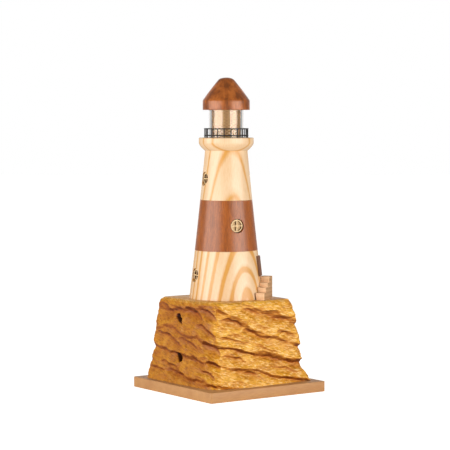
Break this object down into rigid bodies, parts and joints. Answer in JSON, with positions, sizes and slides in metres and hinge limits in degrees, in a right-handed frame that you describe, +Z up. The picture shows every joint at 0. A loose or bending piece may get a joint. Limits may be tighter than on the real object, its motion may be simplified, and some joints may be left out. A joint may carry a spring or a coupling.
{
  "type": "lighthouse ornament",
  "caption": "Turned wooden lighthouse with a lantern, wire railing, round windows, door and stair, standing on a gouge-carved wooden rock and a square board.",
  "frame": {"origin": "middle of the square board's underside, which rests on the surface below", "axes": "+Z up along the tower, +X and +Y square to the board's edges; the caves are in the rock's -X face and the stair is at the +X, -Y corner"},
  "size_m": [0.128, 0.128, 0.288],
  "materials": {
    "board_beech": "steamed beech, sanded, thin satin varnish",
    "screw_steel": "zinc plated",
    "rock_wood": "coarse golden hardwood, gouge carved, satin varnish",
    "pine": "pine with wide orange latewood, turned and sanded, semi-gloss varnish",
    "mahogany": "sapele type mahogany, turned and sanded, semi-gloss varnish",
    "dowel_beech": "plain beech dowel",
    "pane_ply": "thin plywood disc, bare",
    "laser_cut_ply": "thin plywood, laser cut, edges burnt dark",
    "stair_ply": "light wood slabs with level grain, bare",
    "door_ply": "thin plywood, stained brown, edges burnt dark",
    "core_wood": "golden oak dowel, varnished",
    "brass_mesh": "bright expanded brass",
    "clear_tube": "clear tube, thick wall, polished",
    "black_wire": "welded wire mesh, black coated"
  },
  "bodies": {
    "root": {"base_board": "board_beech", "board_screw_1": "screw_steel", "board_screw_2": "screw_steel", "board_screw_3": "screw_steel", "board_screw_4": "screw_steel", "rock_block": "rock_wood", "lower_tower": "pine", "middle_band": "mahogany", "upper_tower": "pine", "foot_dowel": "dowel_beech", "band_dowel": "dowel_beech", "window_pane_upper_left": "pane_ply", "window_frame_upper_left": "laser_cut_ply", "window_pane_upper_right": "pane_ply", "window_frame_upper_right": "laser_cut_ply", "window_pane_band_front": "pane_ply", "window_frame_band_front": "laser_cut_ply", "window_pane_band_back": "pane_ply", "window_frame_band_back": "laser_cut_ply", "window_pane_lower_left": "pane_ply", "window_frame_lower_left": "laser_cut_ply", "stair_step_1": "stair_ply", "stair_step_2": "stair_ply", "stair_step_3": "stair_ply", "stair_step_4": "stair_ply", "door": "door_ply", "lantern_core": "core_wood", "lantern_mesh": "brass_mesh", "lantern_tube": "clear_tube", "gallery_railing": "black_wire", "roof": "mahogany"}
  },
  "joints": []
}
